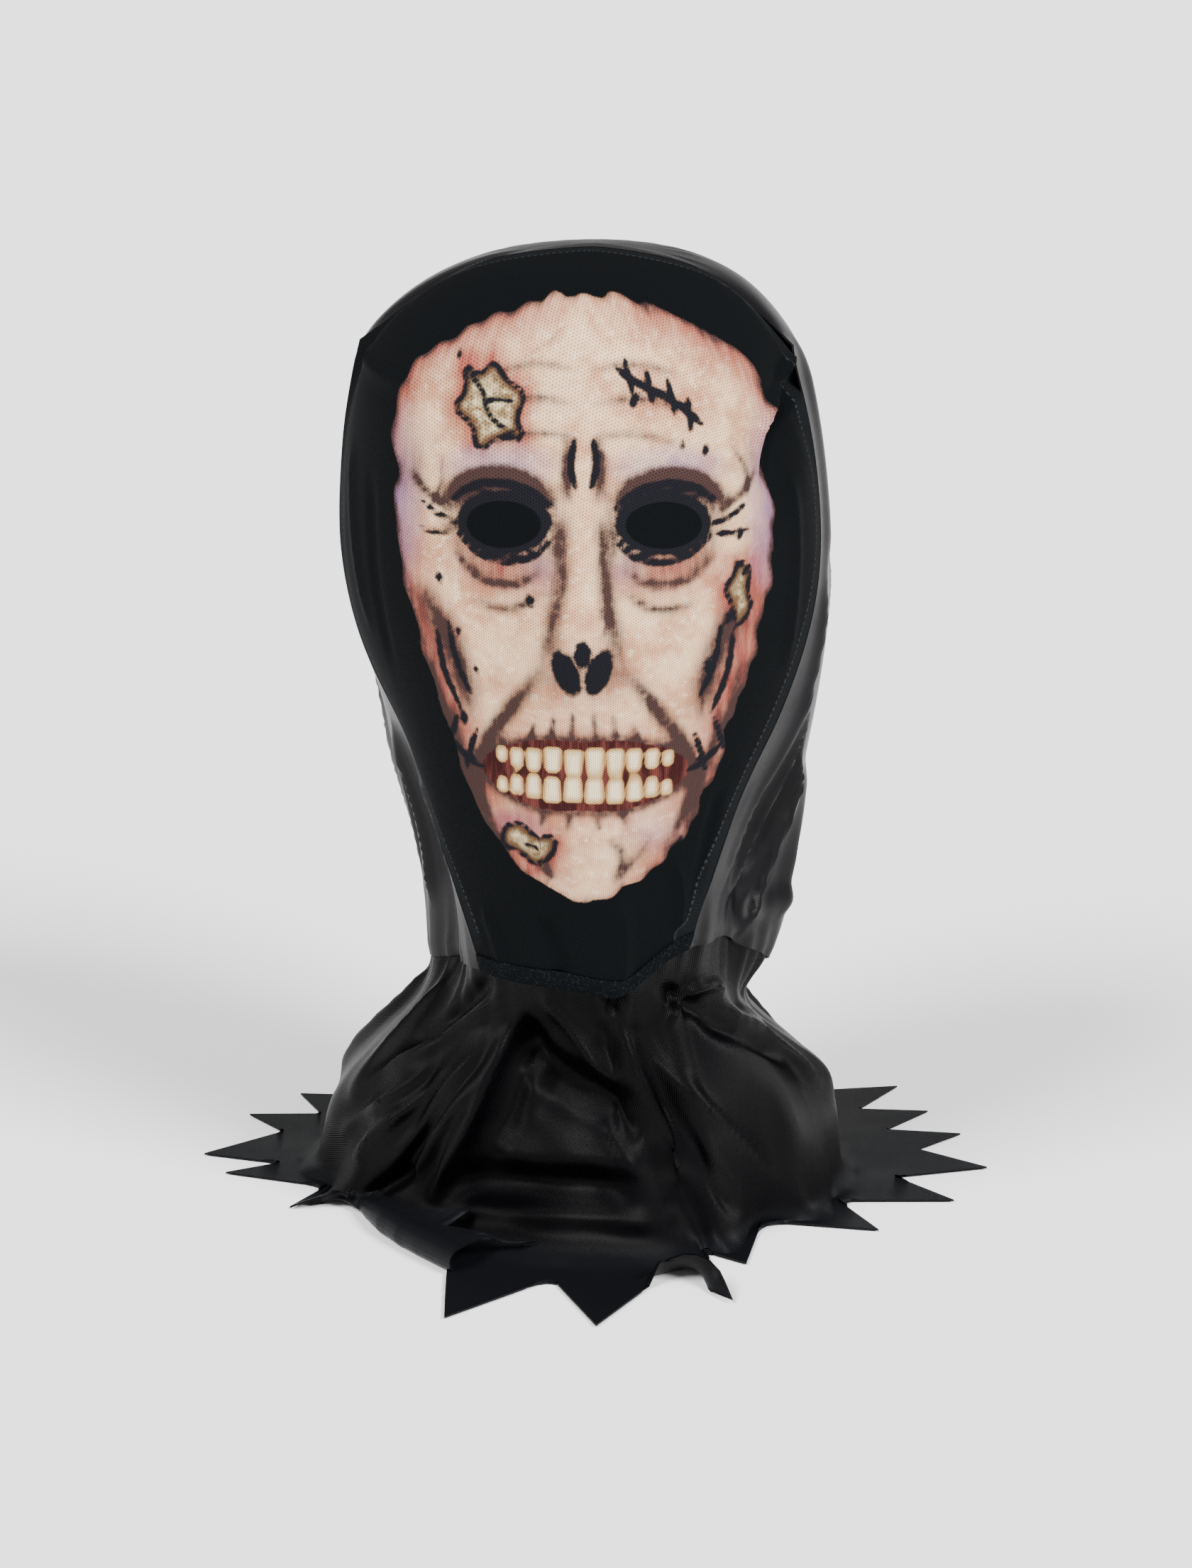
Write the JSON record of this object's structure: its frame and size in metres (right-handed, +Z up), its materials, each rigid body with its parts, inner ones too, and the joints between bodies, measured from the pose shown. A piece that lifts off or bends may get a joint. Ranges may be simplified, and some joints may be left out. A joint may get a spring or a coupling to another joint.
{
  "type": "zombie mask",
  "caption": "Pull-over costume mask: a printed net face panel in a satin hood, over a gathered shoulder cape with a pointed hem.",
  "frame": {"origin": "the inside of the crown at its top, where the wearer's head carries the mask", "axes": "+Z up, -Y the way the face looks, +X towards the wearer's left"},
  "size_m": [0.39, 0.3573, 0.4594],
  "materials": {
    "printed_net": "knitted mesh with a dyed print, matte",
    "black_net": "knitted mesh, matte",
    "hood_satin": "satin knit, soft sheen",
    "cape_satin": "satin knit, soft sheen, cut edges"
  },
  "bodies": {
    "root": {"face_panel": "printed_net", "chin_hem": "black_net", "hood": "hood_satin", "cape": "cape_satin"}
  },
  "joints": []
}
